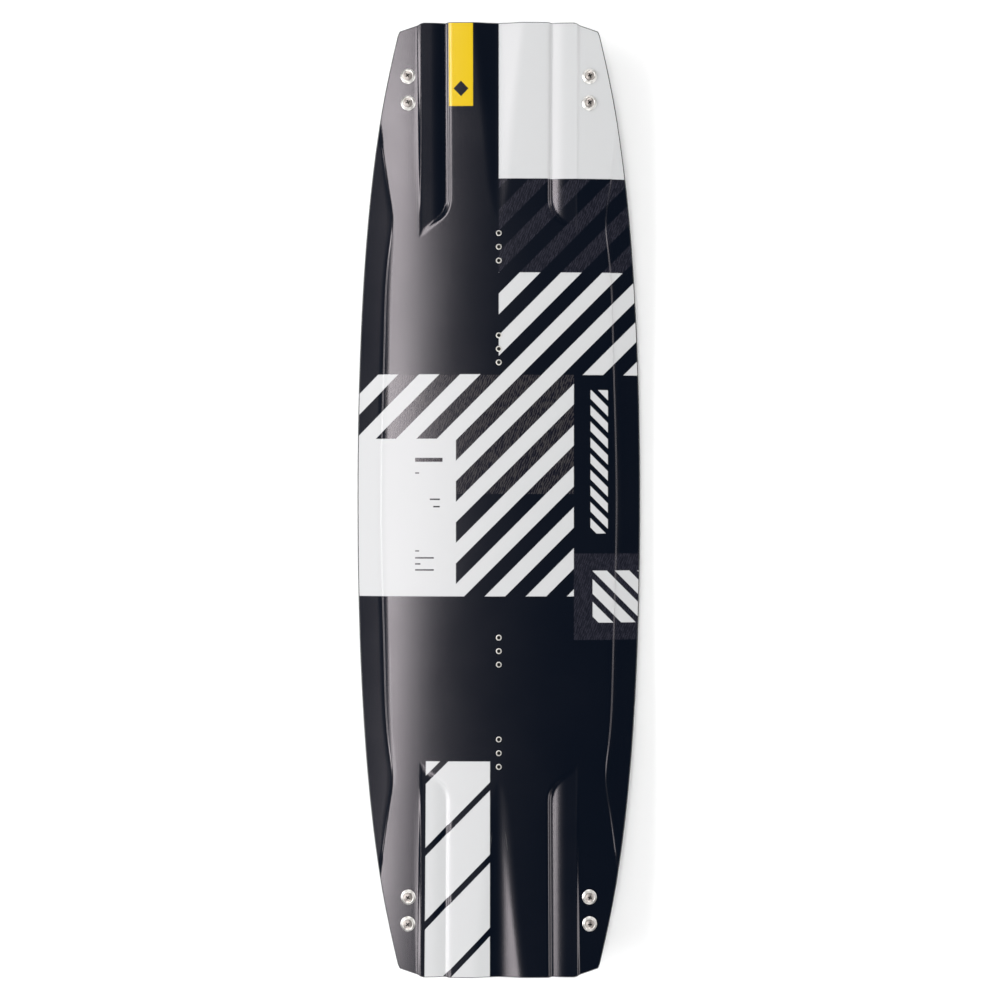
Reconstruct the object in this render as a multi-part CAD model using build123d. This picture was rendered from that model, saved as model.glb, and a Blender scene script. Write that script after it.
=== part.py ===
from build123d import *

import math
import os

# A twin-tip kiteboard. X runs across it, Y along it and Z up, in millimetres.
# Heights are first taken from the middle of the underside, and place() then lifts
# every piece so that the board stands on its fins at Z = 0.

# Board
HALF_LENGTH = 695.0
HALF_WIDTH = 212.4
MIDDLE_THICKNESS = 11.5
TIP_THINNING = 3.0
TIP_ROCKER = 45.0
DECK_CROWN = 6.0
BELLY_CONCAVE = 3.0

# Outline, from the middle of the right edge to the middle of the front tip
EDGE_POINTS = [(HALF_WIDTH, 0), (203.8, 301), (187.1, 478), (167.9, 593), (147.5, 679)]
CHAMFER_POINT = (145.0, 684.0)
EDGE_TANGENTS = [(0, 1), (-0.26, 1)]
TIP_HALF_WIDTH = 110.0
TIP_CORNER_RADIUS = 4.0
CORNER_SLACK = 1.0

# Layers, from the outside in
TOP_SHEET = 0.4
BASE_SHEET = 0.5
LAMINATE = 0.7
DECK_INSET = 1.8
RAIL_WIDTH = 9.0
TIP_RAIL_START = 669.0

# Low band along each side of the deck, which falls more steeply than the crown. Its line is
# in heights from the middle of the deck.
BAND_LINE = [(150.0, -2.95), (230.0, -12.3)]
BAND_POINTS = [(175, 0), (169, 241), (161, 370), (156, 412), (161, 470), (168, 528), (176, 590)]

# Channel along each side of each tip. Its floor climbs to a rounded ridge and falls again.
CHANNEL_INNER = 73.0
CHANNEL_OUTER = 113.0
CHANNEL_SHOULDER = 425.0
CHANNEL_END = 395.0
CHANNEL_CORNER_RADIUS = 15.0
CHANNEL_FLOOR = [(64.0, -5.68), (96.0, -1.84), (122.0, -2.4)]
CHANNEL_RIDGE_RADIUS = 80.0

# Flat beside each channel, and the valley down the middle of each tip. Each is cut from
# a little past where its floor leaves the deck.
FLANK_LEAVES = 423.0
FLANK_START = 430.0
FLANK_DEPTH = 2.8
VALLEY_LEAVES = 402.0
VALLEY_START = 408.0
VALLEY_DEPTH = 3.8
VALLEY_SLOPE = 0.095
VALLEY_HALF_WIDTH = 50.0

# Wooden core
STRIP_WIDTH = 45.0
SIDE_STRIPS = 4
INSERT_BLOCK = (40.0, 226.0)
FIN_BLOCK = (28.0, 72.0)

# M6 inserts for the foot pads, in groups along the middle of the deck
INSERT_GROUPS = {"inner": 225.0, "outer": 375.0}
INSERT_PITCH = 20.0
INSERTS_PER_GROUP = 3
INSERT_RADIUS = 4.5
INSERT_FLANGE_RADIUS = 7.5
INSERT_FLANGE = 1.5
INSERT_BORE_RADIUS = 2.5
INSERT_BORE_DEPTH = 7.5
INSERT_COVER = 0.3

# Fins and what holds them
FIN_PLACE = (133.0, 601.5)
FIN_BOLT_SPACING = 38.0
FIN_OUTLINE = [(-54, 12), (-54, -9), (-20, -56), (26, -56), (52, -9), (52, 12)]
FIN_CORNER_RADII = {1: 10.0, 2: 26.0, 3: 17.0, 4: 8.0}
FIN_SECTION = [(6.5, 12), (6.5, -9), (4.8, -19), (1.7, -58)]
FIN_BEVEL_TAPER = 55.0
SCREW_RADIUS = 2.95
SCREW_LENGTH = 16.0
# Chamfer at the screw's end, across and along it
SCREW_POINT = (0.6, 0.8)
SCREW_HOLE_RADIUS = 3.3
BARREL_RADIUS = 4.0
BARREL_BORE_RADIUS = 3.0
BARREL_LENGTH = 11.0
BARREL_TOP = -7.0
WASHER_RADIUS = 10.75
WASHER_RIM = 0.9
WASHER_CREST_RADIUS = 8.4
WASHER_HEIGHT = 3.4
WASHER_CONE_FOOT = 0.6
HEAD_RADIUS = 6.5
HEAD_DOME = 1.1
# Point the dome passes through, as shares of its radius and its rise
HEAD_SHOULDER = (0.55, 0.7)
HEAD_PLAY = 0.02
RECESS_LENGTH = 6.0
RECESS_WIDTH = 1.2
RECESS_DEPTH = 2.4

# Tool sizes, only larger than the board
DEEP = 60.0
VERY_DEEP = 180.0
HIGH = 120.0
FAR_X = 240.0
FAR_Y = 740.0
SWEEP = 16.0
SWEEP_REACH = 230.0


def arc_radius(reach, rise):
    """Radius of an arc that rises by this much over this reach."""
    return (reach**2 + rise**2) / (2 * rise)


BELLY_ROCKER_RADIUS = arc_radius(HALF_LENGTH, TIP_ROCKER)
DECK_ROCKER_RADIUS = arc_radius(HALF_LENGTH, TIP_ROCKER - TIP_THINNING)
CROWN_RADIUS = arc_radius(HALF_WIDTH, DECK_CROWN)
CONCAVE_RADIUS = arc_radius(HALF_WIDTH, BELLY_CONCAVE)


def drop(x, radius):
    """How far an arc of this radius falls below its middle at x."""
    return radius - math.sqrt(radius**2 - x**2)


def along_rocker(line, axis_height, foot=DEEP):
    """Everything below a cross-section line that is carried round an axis above the board."""
    start = line @ 0
    end = line @ 1
    under = Polyline((end.X, end.Y), (end.X, -foot), (start.X, -foot), (start.X, start.Y))
    face = Plane.XZ * make_face([*line.edges(), *under.edges()])
    axis = Axis((0, 0, axis_height), (1, 0, 0))
    return revolve(face.rotate(axis, -SWEEP / 2), axis, SWEEP)


def crown_line(height, radius):
    """Cross-section arc that is highest in the middle."""
    edge = height - drop(SWEEP_REACH, radius)
    return ThreePointArc((-SWEEP_REACH, edge), (0, height), (SWEEP_REACH, edge))


def below_belly(depth):
    """Everything below the underside, raised by depth into the board."""
    return along_rocker(crown_line(depth, CONCAVE_RADIUS), BELLY_ROCKER_RADIUS, VERY_DEEP)


def sunk_rocker(start, depth):
    """Radius and rise of a flatter rocker that leaves the deck at start and ends depth below it."""
    bend = 2 * depth / (HALF_LENGTH**2 - start**2)
    radius = 1 / (1 / DECK_ROCKER_RADIUS - bend)
    return radius, start**2 * bend / 2


def four_ways(shape):
    """The shape at all four corners of the board."""
    pair = [shape, mirror(shape, Plane.YZ)]
    return pair + [mirror(item, Plane.XZ) for item in pair]


def column(face):
    """Upright prism on a face drawn at height zero."""
    return Pos(0, 0, -DEEP) * extrude(face, DEEP + HIGH)


def band_columns(grow):
    """Upright columns over the lower bands at the sides."""
    inside = [(x - grow, y) for x, y in BAND_POINTS]
    mirrored = [(x, -y) for x, y in reversed(inside[1:])]
    points = mirrored + inside
    edge = Spline(*points)
    outside = Polyline(points[-1], (FAR_X, points[-1][1]), (FAR_X, points[0][1]), points[0])
    right = column(make_face([*edge.edges(), *outside.edges()]))
    return [right, mirror(right, Plane.YZ)]


def channel_columns(grow):
    """Upright columns over the four tip channels."""
    points = [
        (CHANNEL_INNER, FAR_Y),
        (CHANNEL_INNER, CHANNEL_SHOULDER),
        (CHANNEL_OUTER, CHANNEL_END),
        (CHANNEL_OUTER, FAR_Y),
    ]
    face = make_face(Polyline(*points, close=True))
    shoulder = face.vertices().sort_by_distance((CHANNEL_INNER, CHANNEL_SHOULDER))[0]
    face = fillet(shoulder, CHANNEL_CORNER_RADIUS)
    if grow:
        face = offset(face, grow, kind=Kind.INTERSECTION)
    return four_ways(column(face))


def rectangle_columns(x_from, x_to, y_from):
    """Four upright columns from y_from to past the tips."""
    width = x_to - x_from
    length = FAR_Y - y_from
    face = Pos(x_from + width / 2, y_from + length / 2) * Rectangle(width, length)
    return four_ways(column(face))


def band_floor(depth):
    """Everything below the bands at the sides."""
    right = [(x, z + MIDDLE_THICKNESS - depth) for x, z in BAND_LINE]
    left = [(-x, z) for x, z in reversed(right)]
    return along_rocker(Polyline(*left, *right), MIDDLE_THICKNESS + DECK_ROCKER_RADIUS)


def channel_floor(depth):
    """Everything below the floors of the channels."""
    right = [(x, z + MIDDLE_THICKNESS - depth) for x, z in CHANNEL_FLOOR]
    left = [(-x, z) for x, z in reversed(right)]
    line = FilletPolyline(*left, *right, radius=CHANNEL_RIDGE_RADIUS)
    return along_rocker(line, MIDDLE_THICKNESS + DECK_ROCKER_RADIUS)


def flank_floor(depth):
    """Everything below the flats beside the channels."""
    radius, rise = sunk_rocker(FLANK_LEAVES, FLANK_DEPTH)
    height = MIDDLE_THICKNESS + rise
    return along_rocker(crown_line(height - depth, CROWN_RADIUS), height + radius)


def valley_floor(depth):
    """Everything below the V of the tip valleys."""
    radius, rise = sunk_rocker(VALLEY_LEAVES, VALLEY_DEPTH)
    middle = MIDDLE_THICKNESS + rise
    side = middle - depth + VALLEY_SLOPE * SWEEP_REACH
    line = Polyline((-SWEEP_REACH, side), (0, middle - depth), (SWEEP_REACH, side))
    return along_rocker(line, middle + radius)


def below_deck(depth):
    """Everything below the shaped deck, lowered by depth into the board."""
    axis_height = MIDDLE_THICKNESS + DECK_ROCKER_RADIUS
    whole = along_rocker(crown_line(MIDDLE_THICKNESS - depth, CROWN_RADIUS), axis_height)
    bands = band_floor(depth)
    channels = channel_floor(depth)
    flanks = flank_floor(depth)
    valleys = valley_floor(depth)
    cuts = [tool - bands for tool in band_columns(depth)]
    cuts += [tool - channels for tool in channel_columns(depth)]
    cuts += [tool - flanks for tool in rectangle_columns(CHANNEL_OUTER - depth, FAR_X, FLANK_START)]
    cuts += [tool - valleys for tool in rectangle_columns(0, VALLEY_HALF_WIDTH, VALLEY_START)]
    for cut in cuts:
        whole = whole - cut
    return whole


def outline(inset):
    """Plan of the board, drawn smaller by about inset on every side."""
    across = 1 - inset / HALF_WIDTH
    along = 1 - inset / HALF_LENGTH
    tip_points = [CHAMFER_POINT, (TIP_HALF_WIDTH, HALF_LENGTH), (0, HALF_LENGTH)]
    side = [(x * across, y * along) for x, y in EDGE_POINTS]
    end = [(x * across, y * along) for x, y in tip_points]
    edge = Spline(*side, tangents=EDGE_TANGENTS)
    quarter = [*edge.edges(), *Polyline(side[-1], *end).edges()]
    half = quarter + [mirror(item, Plane.XZ) for item in quarter]
    face = make_face(half + [mirror(item, Plane.YZ) for item in half])
    tip_start = end[0][1] - CORNER_SLACK
    bends = [v for v in face.vertices() if abs(v.X) > CORNER_SLACK and abs(v.Y) > tip_start]
    return column(fillet(bends, TIP_CORNER_RADIUS))


def normal_frame(x, y):
    """Frame on the flat beside a channel, with its Z square to the surface."""
    radius, rise = sunk_rocker(FLANK_LEAVES, FLANK_DEPTH)
    reach = radius + drop(x, CROWN_RADIUS)
    tilt = math.asin(y / reach)
    height = MIDDLE_THICKNESS + rise + radius - reach * math.cos(tilt)
    lean = math.asin(x / CROWN_RADIUS)
    across = math.sin(lean)
    along = -math.sin(tilt) * math.cos(lean)
    up = math.cos(tilt) * math.cos(lean)
    return Plane(origin=(x, y, height), x_dir=(up, 0, -across), z_dir=(across, along, up))


def turned(points):
    """Solid of revolution from (radius, height) points."""
    face = Plane.XZ * make_face(Polyline(*points, close=True))
    return revolve(face, Axis.Z)


def bolt_pair(shape):
    """One shape at each of the two bolt places of a fin."""
    half = FIN_BOLT_SPACING / 2
    return [Pos(0, side * half, 0) * shape for side in (-1, 1)]


def fin_washer():
    """Dished finishing washer with a conical seat for the screw head."""
    return turned(
        [
            (SCREW_HOLE_RADIUS, 0),
            (WASHER_RADIUS, 0),
            (WASHER_RADIUS, WASHER_RIM),
            (WASHER_CREST_RADIUS, WASHER_HEIGHT),
            (HEAD_RADIUS, WASHER_HEIGHT),
            (SCREW_HOLE_RADIUS, WASHER_CONE_FOOT),
        ]
    )


def fin_screw():
    """M6 screw with a raised countersunk head and a cross recess."""
    slope = (HEAD_RADIUS - SCREW_HOLE_RADIUS) / (WASHER_HEIGHT - WASHER_CONE_FOOT)
    rim = HEAD_RADIUS - HEAD_PLAY
    neck = WASHER_HEIGHT - (rim - SCREW_RADIUS) / slope
    crest = WASHER_HEIGHT + HEAD_DOME
    tip = WASHER_HEIGHT - SCREW_LENGTH
    shoulder = (rim * HEAD_SHOULDER[0], WASHER_HEIGHT + HEAD_DOME * HEAD_SHOULDER[1])
    dome = ThreePointArc((rim, WASHER_HEIGHT), shoulder, (0, crest))
    body = Polyline(
        (0, crest),
        (0, tip),
        (SCREW_RADIUS - SCREW_POINT[0], tip),
        (SCREW_RADIUS, tip + SCREW_POINT[1]),
        (SCREW_RADIUS, neck),
        (rim, WASHER_HEIGHT),
    )
    screw = revolve(Plane.XZ * make_face([*dome.edges(), *body.edges()]), Axis.Z)
    blade = Pos(0, 0, crest) * Box(RECESS_LENGTH, RECESS_WIDTH, 2 * RECESS_DEPTH)
    return screw - blade - Rot(0, 0, 90) * blade


def fin_barrel():
    """Threaded brass barrel moulded into the fin."""
    barrel = Cylinder(BARREL_RADIUS, BARREL_LENGTH) - Cylinder(BARREL_BORE_RADIUS, BARREL_LENGTH)
    return Pos(0, 0, BARREL_TOP - BARREL_LENGTH / 2) * barrel


def barrel_socket():
    """Blind hole in the fin for a barrel and the end of its screw."""
    length = BARREL_LENGTH + HIGH
    return Pos(0, 0, BARREL_TOP - BARREL_LENGTH + length / 2) * Cylinder(BARREL_RADIUS, length)


def fin_blank():
    """Fin with a thick root, thin tip and bevelled edges, standing in its own frame."""
    face = make_face(Polyline(*FIN_OUTLINE, close=True))
    for index, radius in FIN_CORNER_RADII.items():
        corner = face.vertices().sort_by_distance(FIN_OUTLINE[index])[0]
        face = fillet(corner, radius)
    reach = FIN_SECTION[0][0]
    half = extrude(Plane.YZ * face, reach, taper=FIN_BEVEL_TAPER)
    bevelled = half + mirror(half, Plane.YZ)
    left = [(-x, z) for x, z in reversed(FIN_SECTION)]
    section = Plane.XZ * make_face(Polyline(*FIN_SECTION, *left, close=True))
    return bevelled & extrude(section, FAR_X, both=True)


def insert_span(y):
    """Foot and top heights of the insert at y, flush with the deck at the lower side of its rim."""
    reach = math.sqrt(DECK_ROCKER_RADIUS**2 - (y - INSERT_RADIUS) ** 2)
    top = MIDDLE_THICKNESS + DECK_ROCKER_RADIUS - reach
    foot = BASE_SHEET + LAMINATE + INSERT_COVER + drop(y + INSERT_FLANGE_RADIUS, BELLY_ROCKER_RADIUS)
    return foot, top


def insert_socket(y, height=HIGH):
    """Space that an insert fills, run on upwards to this height."""
    foot, _ = insert_span(y)
    flange = Pos(0, y, foot + INSERT_FLANGE / 2) * Cylinder(INSERT_FLANGE_RADIUS, INSERT_FLANGE)
    return flange + Pos(0, y, (foot + height) / 2) * Cylinder(INSERT_RADIUS, height - foot)


def insert(y):
    """Flanged M6 insert with a blind threaded bore."""
    _, top = insert_span(y)
    bore = Pos(0, y, top) * Cylinder(INSERT_BORE_RADIUS, 2 * INSERT_BORE_DEPTH)
    return insert_socket(y, top) - bore


def insert_places(centre):
    """Y of each insert in the group round this centre."""
    middle = (INSERTS_PER_GROUP - 1) / 2
    return [centre + (i - middle) * INSERT_PITCH for i in range(INSERTS_PER_GROUP)]


def insert_groups():
    """Each group of inserts by its node's name."""
    groups = {}
    for name, centre in INSERT_GROUPS.items():
        front = Compound([insert(y) for y in insert_places(centre)])
        groups[f"pad_inserts_front_{name}"] = front
        groups[f"pad_inserts_rear_{name}"] = mirror(front, Plane.XZ)
    return groups


def slab(x_from, x_to, y_from, y_to):
    """Upright block between two X and two Y limits."""
    face = Pos((x_from + x_to) / 2, (y_from + y_to) / 2) * Rectangle(x_to - x_from, y_to - y_from)
    return column(face)


def without(shape, tools):
    """Shape with each tool taken away."""
    for tool in tools:
        shape = shape - tool
    return shape


def corners(name, shape):
    """One node at each corner of the board, from the one at the front right."""
    places = [f"{name}_front_right", f"{name}_front_left", f"{name}_rear_right", f"{name}_rear_left"]
    return dict(zip(places, four_ways(shape)))


def screw_holes(frame):
    """Clearance holes through the board for one fin's screws."""
    return [frame.location * item for item in bolt_pair(Cylinder(SCREW_HOLE_RADIUS, HIGH))]


def washer_seats(frame):
    """Shallow round seats that let the washers lie flat on the curved deck."""
    seat = Pos(0, 0, WASHER_HEIGHT / 2) * Cylinder(WASHER_RADIUS, WASHER_HEIGHT)
    return [frame.location * item for item in bolt_pair(seat)]


def fin_hardware(frame, belly):
    """Fin, barrels, screws and washers of the front right fin."""
    barrels = [frame.location * item for item in bolt_pair(fin_barrel())]
    sockets = [frame.location * item for item in bolt_pair(barrel_socket())]
    fin = without((frame.location * fin_blank()) & belly, sockets)
    screws = [frame.location * item for item in bolt_pair(fin_screw())]
    washers = [frame.location * item for item in bolt_pair(fin_washer())]
    return {
        "fin": fin,
        "fin_barrels": Compound([item & belly for item in barrels]),
        "fin_screws": Compound(screws),
        "fin_washers": Compound(washers),
    }


def rails(ring):
    """Edge rails, split into two long sides and two tips."""
    side = slab(0, FAR_X, -TIP_RAIL_START, TIP_RAIL_START)
    tip = slab(-FAR_X, FAR_X, TIP_RAIL_START, FAR_Y)
    right = ring & side
    front = ring & tip
    return {
        "rail_right": right,
        "rail_left": mirror(right, Plane.YZ),
        "tip_rail_front": front,
        "tip_rail_rear": mirror(front, Plane.XZ),
    }


def core_pieces(core, sockets, holes):
    """Wooden strips and the harder blocks let into them."""
    inner = (INSERT_GROUPS["inner"] + INSERT_GROUPS["outer"] - INSERT_BLOCK[1]) / 2
    outer = inner + INSERT_BLOCK[1]
    half_block = INSERT_BLOCK[0] / 2
    block_tool = slab(-half_block, half_block, inner, outer)
    fin_tool = slab(
        FIN_PLACE[0] - FIN_BLOCK[0] / 2,
        FIN_PLACE[0] + FIN_BLOCK[0] / 2,
        FIN_PLACE[1] - FIN_BLOCK[1] / 2,
        FIN_PLACE[1] + FIN_BLOCK[1] / 2,
    )
    front_block = without(core & block_tool, sockets)
    pieces = {"insert_block_front": front_block, "insert_block_rear": mirror(front_block, Plane.XZ)}
    pieces.update(corners("fin_block", without(core & fin_tool, holes)))
    half_strip = STRIP_WIDTH / 2
    middle = core & slab(-half_strip, half_strip, -FAR_Y, FAR_Y)
    pieces["core_strip_middle"] = without(middle, [block_tool, mirror(block_tool, Plane.XZ)])
    for number in range(1, SIDE_STRIPS + 1):
        start = half_strip + (number - 1) * STRIP_WIDTH
        end = FAR_X if number == SIDE_STRIPS else start + STRIP_WIDTH
        strip = without(core & slab(start, end, -FAR_Y, FAR_Y), [fin_tool, mirror(fin_tool, Plane.XZ)])
        pieces[f"core_strip_right_{number}"] = strip
        pieces[f"core_strip_left_{number}"] = mirror(strip, Plane.YZ)
    return pieces


def build():
    """Every node of the board by its name."""
    frame = normal_frame(*FIN_PLACE)
    deck = below_deck(0)
    under_sheet = below_deck(TOP_SHEET)
    under_laminate = below_deck(TOP_SHEET + LAMINATE)
    belly = below_belly(0)
    over_base = below_belly(BASE_SHEET)
    over_laminate = below_belly(BASE_SHEET + LAMINATE)
    full = outline(0)
    inset = outline(DECK_INSET)
    inside = outline(RAIL_WIDTH)

    sockets = [insert_socket(y) for centre in INSERT_GROUPS.values() for y in insert_places(centre)]
    all_sockets = sockets + [mirror(item, Plane.XZ) for item in sockets]
    holes = screw_holes(frame)
    all_holes = [item for hole in holes for item in four_ways(hole)]
    all_seats = [item for seat in washer_seats(frame) for item in four_ways(seat)]

    nodes = {}
    nodes["top_sheet"] = without((inset & deck) - under_sheet, all_sockets + all_holes + all_seats)
    nodes["upper_laminate"] = without((inset & under_sheet) - under_laminate, all_sockets + all_holes)
    nodes["lower_laminate"] = without((full & over_laminate) - over_base, all_holes)
    nodes["base_sheet"] = without((full & over_base) - belly, all_holes)
    layer = (full & under_laminate) - over_laminate
    nodes.update(rails(layer - inside))
    nodes.update(core_pieces(layer & inside, sockets, holes))
    nodes.update(insert_groups())
    for name, shape in fin_hardware(frame, belly).items():
        nodes.update(corners(name, shape))
    return nodes


def place(nodes):
    """Writes each node with the fins' lowest point at Z = 0."""
    os.makedirs("parts", exist_ok=True)
    lift = -min(shape.bounding_box().min.Z for name, shape in nodes.items() if name.startswith("fin_"))
    for name, shape in nodes.items():
        export_step(Pos(0, 0, lift) * shape, f"parts/{name}.step")


place(build())
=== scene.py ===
import math

import bmesh
import bpy
from mathutils import Matrix, Vector


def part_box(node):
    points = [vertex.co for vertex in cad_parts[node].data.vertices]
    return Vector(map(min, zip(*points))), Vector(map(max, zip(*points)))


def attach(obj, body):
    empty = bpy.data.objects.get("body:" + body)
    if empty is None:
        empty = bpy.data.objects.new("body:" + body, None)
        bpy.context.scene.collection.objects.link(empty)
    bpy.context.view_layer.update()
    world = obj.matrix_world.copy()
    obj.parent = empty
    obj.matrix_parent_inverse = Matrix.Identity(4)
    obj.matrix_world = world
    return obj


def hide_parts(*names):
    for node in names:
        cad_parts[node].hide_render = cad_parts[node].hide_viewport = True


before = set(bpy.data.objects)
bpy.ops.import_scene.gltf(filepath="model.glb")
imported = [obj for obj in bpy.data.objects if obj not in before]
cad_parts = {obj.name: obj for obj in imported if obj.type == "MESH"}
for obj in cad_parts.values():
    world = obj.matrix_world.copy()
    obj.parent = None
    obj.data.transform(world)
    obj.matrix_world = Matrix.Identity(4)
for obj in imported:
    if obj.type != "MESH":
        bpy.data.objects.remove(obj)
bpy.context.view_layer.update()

# The board's sizes are in millimetres, as in the CAD, and meshes are scaled to metres.
# X runs across the board, Y along it to the front tip, and Z up out of the deck.
MM = 0.001

# Board
HALF_LENGTH = 695.0
HALF_WIDTH = 212.4
MIDDLE_THICKNESS = 11.5
TIP_THINNING = 3.0
TIP_ROCKER = 45.0
DECK_CROWN = 6.0
BELLY_CONCAVE = 3.0
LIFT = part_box("base_sheet")[0].z / MM + BELLY_CONCAVE

# Outline: x at each y along a side, then the cut corner and the straight tip
EDGE_POINTS = [(HALF_WIDTH, 0), (203.8, 301), (187.1, 478), (167.9, 593), (147.5, 679)]
EDGE_SLOPES = (0.0, -0.26)
CORNER = (145.0, 684.0)
CORNER_SLOPE = -0.5
TIP_HALF_WIDTH = 110.0

# Relief of the deck. It follows the CAD's closely, apart from the CAD's steps, which are walls here.
BAND_LINE = [(150.0, -2.95), (230.0, -12.3)]
BAND_POINTS = [(175, 0), (169, 241), (161, 370), (156, 412), (161, 470), (168, 528), (176, 590)]
BAND_SLOPES = (0.0, 0.13)
BAND_SOFTENS = (377.0, 460.0)
BAND_WALL = (2.5, 7.0)
CHANNEL_OUTER = 113.0
CHANNEL_SHOULDER = 425.0
CHANNEL_SHOULDER_NORMAL = (0.6, 0.8)
CHANNEL_ROUNDING = 15.0
CHANNEL_WALL_START = 71.8
CHANNEL_WALL = 6.9
CHANNEL_OUTER_WALL = 6.0
CHANNEL_FLOOR = [(64.0, -5.94), (92.0, -2.3), (122.0, -1.85)]
CHANNEL_RIDGE = 0.8
CHANNEL_LIP = 1.6
CHANNEL_LIP_SLOPE = 0.08
FLANK_LEAVES = 423.0
FLANK_DEPTH = 2.8
VALLEY_LEAVES = 402.0
VALLEY_DEPTH = 3.8
VALLEY_SLOPE = 0.13
VALLEY_ROUNDING = 9.0
VALLEY_LOWERING = 1.0
VALLEY_BLEND = 0.9
VALLEY_BLENDS = (402.0, 470.0)
LEAST_BLEND = 0.01
VALLEY_HALF_WIDTH = 60.0

# Layers
TOP_SHEET = 0.38
BASE_SHEET = 0.5
DECK_INSET = 1.8
UNDER_RAIL = 1.2
RAIL_TOP = [(9.0, 1.15), (1.9, 1.15), (1.8, 0.25), (1.4, 0.38), (0.9, 0.7), (0.25, 1.4), (0.0, 2.3)]
TIP_RAIL_START = 669.0

# Where the sheets' rows are closest, round the channels' ends, and where their columns change: at the side
# of the valley and on both sides of a channel's ridge
SHOULDER_ROWS = (375.0, 435.0)
VALLEY_SIDE = 56.0
RIDGE_SIDES = (90.0, 102.0)

# Inserts
INSERT_GROUPS = {"inner": 225.0, "outer": 375.0}
INSERT_PITCH = 20.0
INSERT_RADIUS = 4.5
INSERT_BORE = 2.5
INSERT_THREAD = 0.42
INSERT_DEPTH = 7.5

# Fins and what holds them
FIN_PLACE = (133.0, 601.5)
FIN_BOLT_SPACING = 38.0
FIN_ROOT = -9.0
FIN_TIP = -56.9
FIN_LEADING = (-54.0, 34.0)
FIN_TRAILING = (52.0, -26.0)
FIN_SECTION = [(6.4, -9.0), (4.8, -19.0), (1.7, -58.0)]
WASHER_RADIUS = 10.7
WASHER_HOLE = 3.3
SCREW_RADIUS = 2.95
SCREW_TURNS = 11
THREAD_PITCH = 1.0
HEAD_RADIUS = 6.4
HEAD_HEIGHT = 3.4
# Cross recess at three levels: height above the head's edge, reach of its arms and half their width
RECESS = [(1.3, 3.35, 0.85), (-0.6, 2.7, 0.7), (-2.1, 1.0, 0.5)]
# How far from the axis the faces of a cross recess and an insert's bore get dark painted shade
RECESS_SHADE_REACH = 3.4
BORE_SHADE_REACH = 3.1


# Shape of the board


def arc_radius(reach, rise):
    """Radius of an arc that rises by this much over this reach."""
    return (reach**2 + rise**2) / (2 * rise)


BELLY_RADIUS = arc_radius(HALF_LENGTH, TIP_ROCKER)
DECK_RADIUS = arc_radius(HALF_LENGTH, TIP_ROCKER - TIP_THINNING)
CROWN_RADIUS = arc_radius(HALF_WIDTH, DECK_CROWN)
CONCAVE_RADIUS = arc_radius(HALF_WIDTH, BELLY_CONCAVE)


def drop(x, radius):
    """How far an arc of this radius falls below its middle at x."""
    return radius - math.sqrt(radius**2 - x**2)


def ramp(value):
    """Smooth step from 0 at 0 to 1 at 1."""
    t = min(max(value, 0.0), 1.0)
    return t * t * (3 - 2 * t)


def between(value, start, end):
    """Smooth step from 0 at start to 1 at end."""
    return ramp((value - start) / (end - start))


def spline_slopes(points, slopes):
    """dx/dy at each point of a smooth curve, from its slopes at the two ends."""
    found = [slopes[0]] + [0.0] * (len(points) - 2) + [slopes[1]]
    for _ in range(40):
        for i in range(1, len(points) - 1):
            (x0, y0), (x1, y1), (x2, y2) = points[i - 1 : i + 2]
            before, after = y1 - y0, y2 - y1
            pull = 3 * (after * (x1 - x0) / before + before * (x2 - x1) / after)
            near = after * found[i - 1] + before * found[i + 1]
            found[i] = (pull - near) / (2 * (before + after))
    return found


def spline_x(points, slopes, y):
    """x at y on the smooth curve through the points."""
    last = len(points) - 2
    i = min(sum(1 for point in points[1:-1] if y > point[1]), last)
    (x0, y0), (x1, y1) = points[i], points[i + 1]
    span = y1 - y0
    t = (y - y0) / span
    start = x0 * (1 + 2 * t) * (1 - t) ** 2 + slopes[i] * span * t * (1 - t) ** 2
    end = x1 * (3 - 2 * t) * t**2 - slopes[i + 1] * span * (1 - t) * t**2
    return start + end


EDGE_RUN = spline_slopes(EDGE_POINTS, EDGE_SLOPES)
BAND_RUN = spline_slopes(BAND_POINTS, BAND_SLOPES)


def shrunk(inset):
    """Scales that draw the outline smaller by about inset."""
    return 1 - inset / HALF_WIDTH, 1 - inset / HALF_LENGTH


def edge_x(y, inset=0.0):
    """Half width of the board at y."""
    across, along = shrunk(inset)
    reach = abs(y) / along
    if reach > EDGE_POINTS[-1][1]:
        return across * (CORNER[0] + CORNER_SLOPE * (reach - CORNER[1]))
    return across * spline_x(EDGE_POINTS, EDGE_RUN, reach)


def tip_y(x, inset=0.0):
    """Half length of the board at x."""
    across, along = shrunk(inset)
    past = min(max(abs(x) / across - TIP_HALF_WIDTH, 0.0), CORNER[0] - TIP_HALF_WIDTH)
    fall = (HALF_LENGTH - CORNER[1]) / (CORNER[0] - TIP_HALF_WIDTH)
    return along * (HALF_LENGTH - past * fall)


def band_x(y):
    """Inner edge of the low band at y."""
    return spline_x(BAND_POINTS, BAND_RUN, min(abs(y), BAND_POINTS[-1][1]))


def band_wall(y):
    """Width of the step down to the band at y."""
    sharp, soft = BAND_WALL
    return sharp + (soft - sharp) * between(abs(y), *BAND_SOFTENS)


def carried(line, y, radius, middle):
    """Height at y of a cross-section point that starts at line, along a rocker of this radius."""
    return middle + radius - math.sqrt((radius - line) ** 2 - y**2)


def sunk_rocker(start, depth):
    """Radius and rise of a flatter rocker that leaves the deck at start and ends depth below it."""
    bend = 2 * depth / (HALF_LENGTH**2 - start**2)
    radius = 1 / (1 / DECK_RADIUS - bend)
    return radius, start**2 * bend / 2


FLANK = sunk_rocker(FLANK_LEAVES, FLANK_DEPTH)
VALLEY = sunk_rocker(VALLEY_LEAVES, VALLEY_DEPTH)


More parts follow.
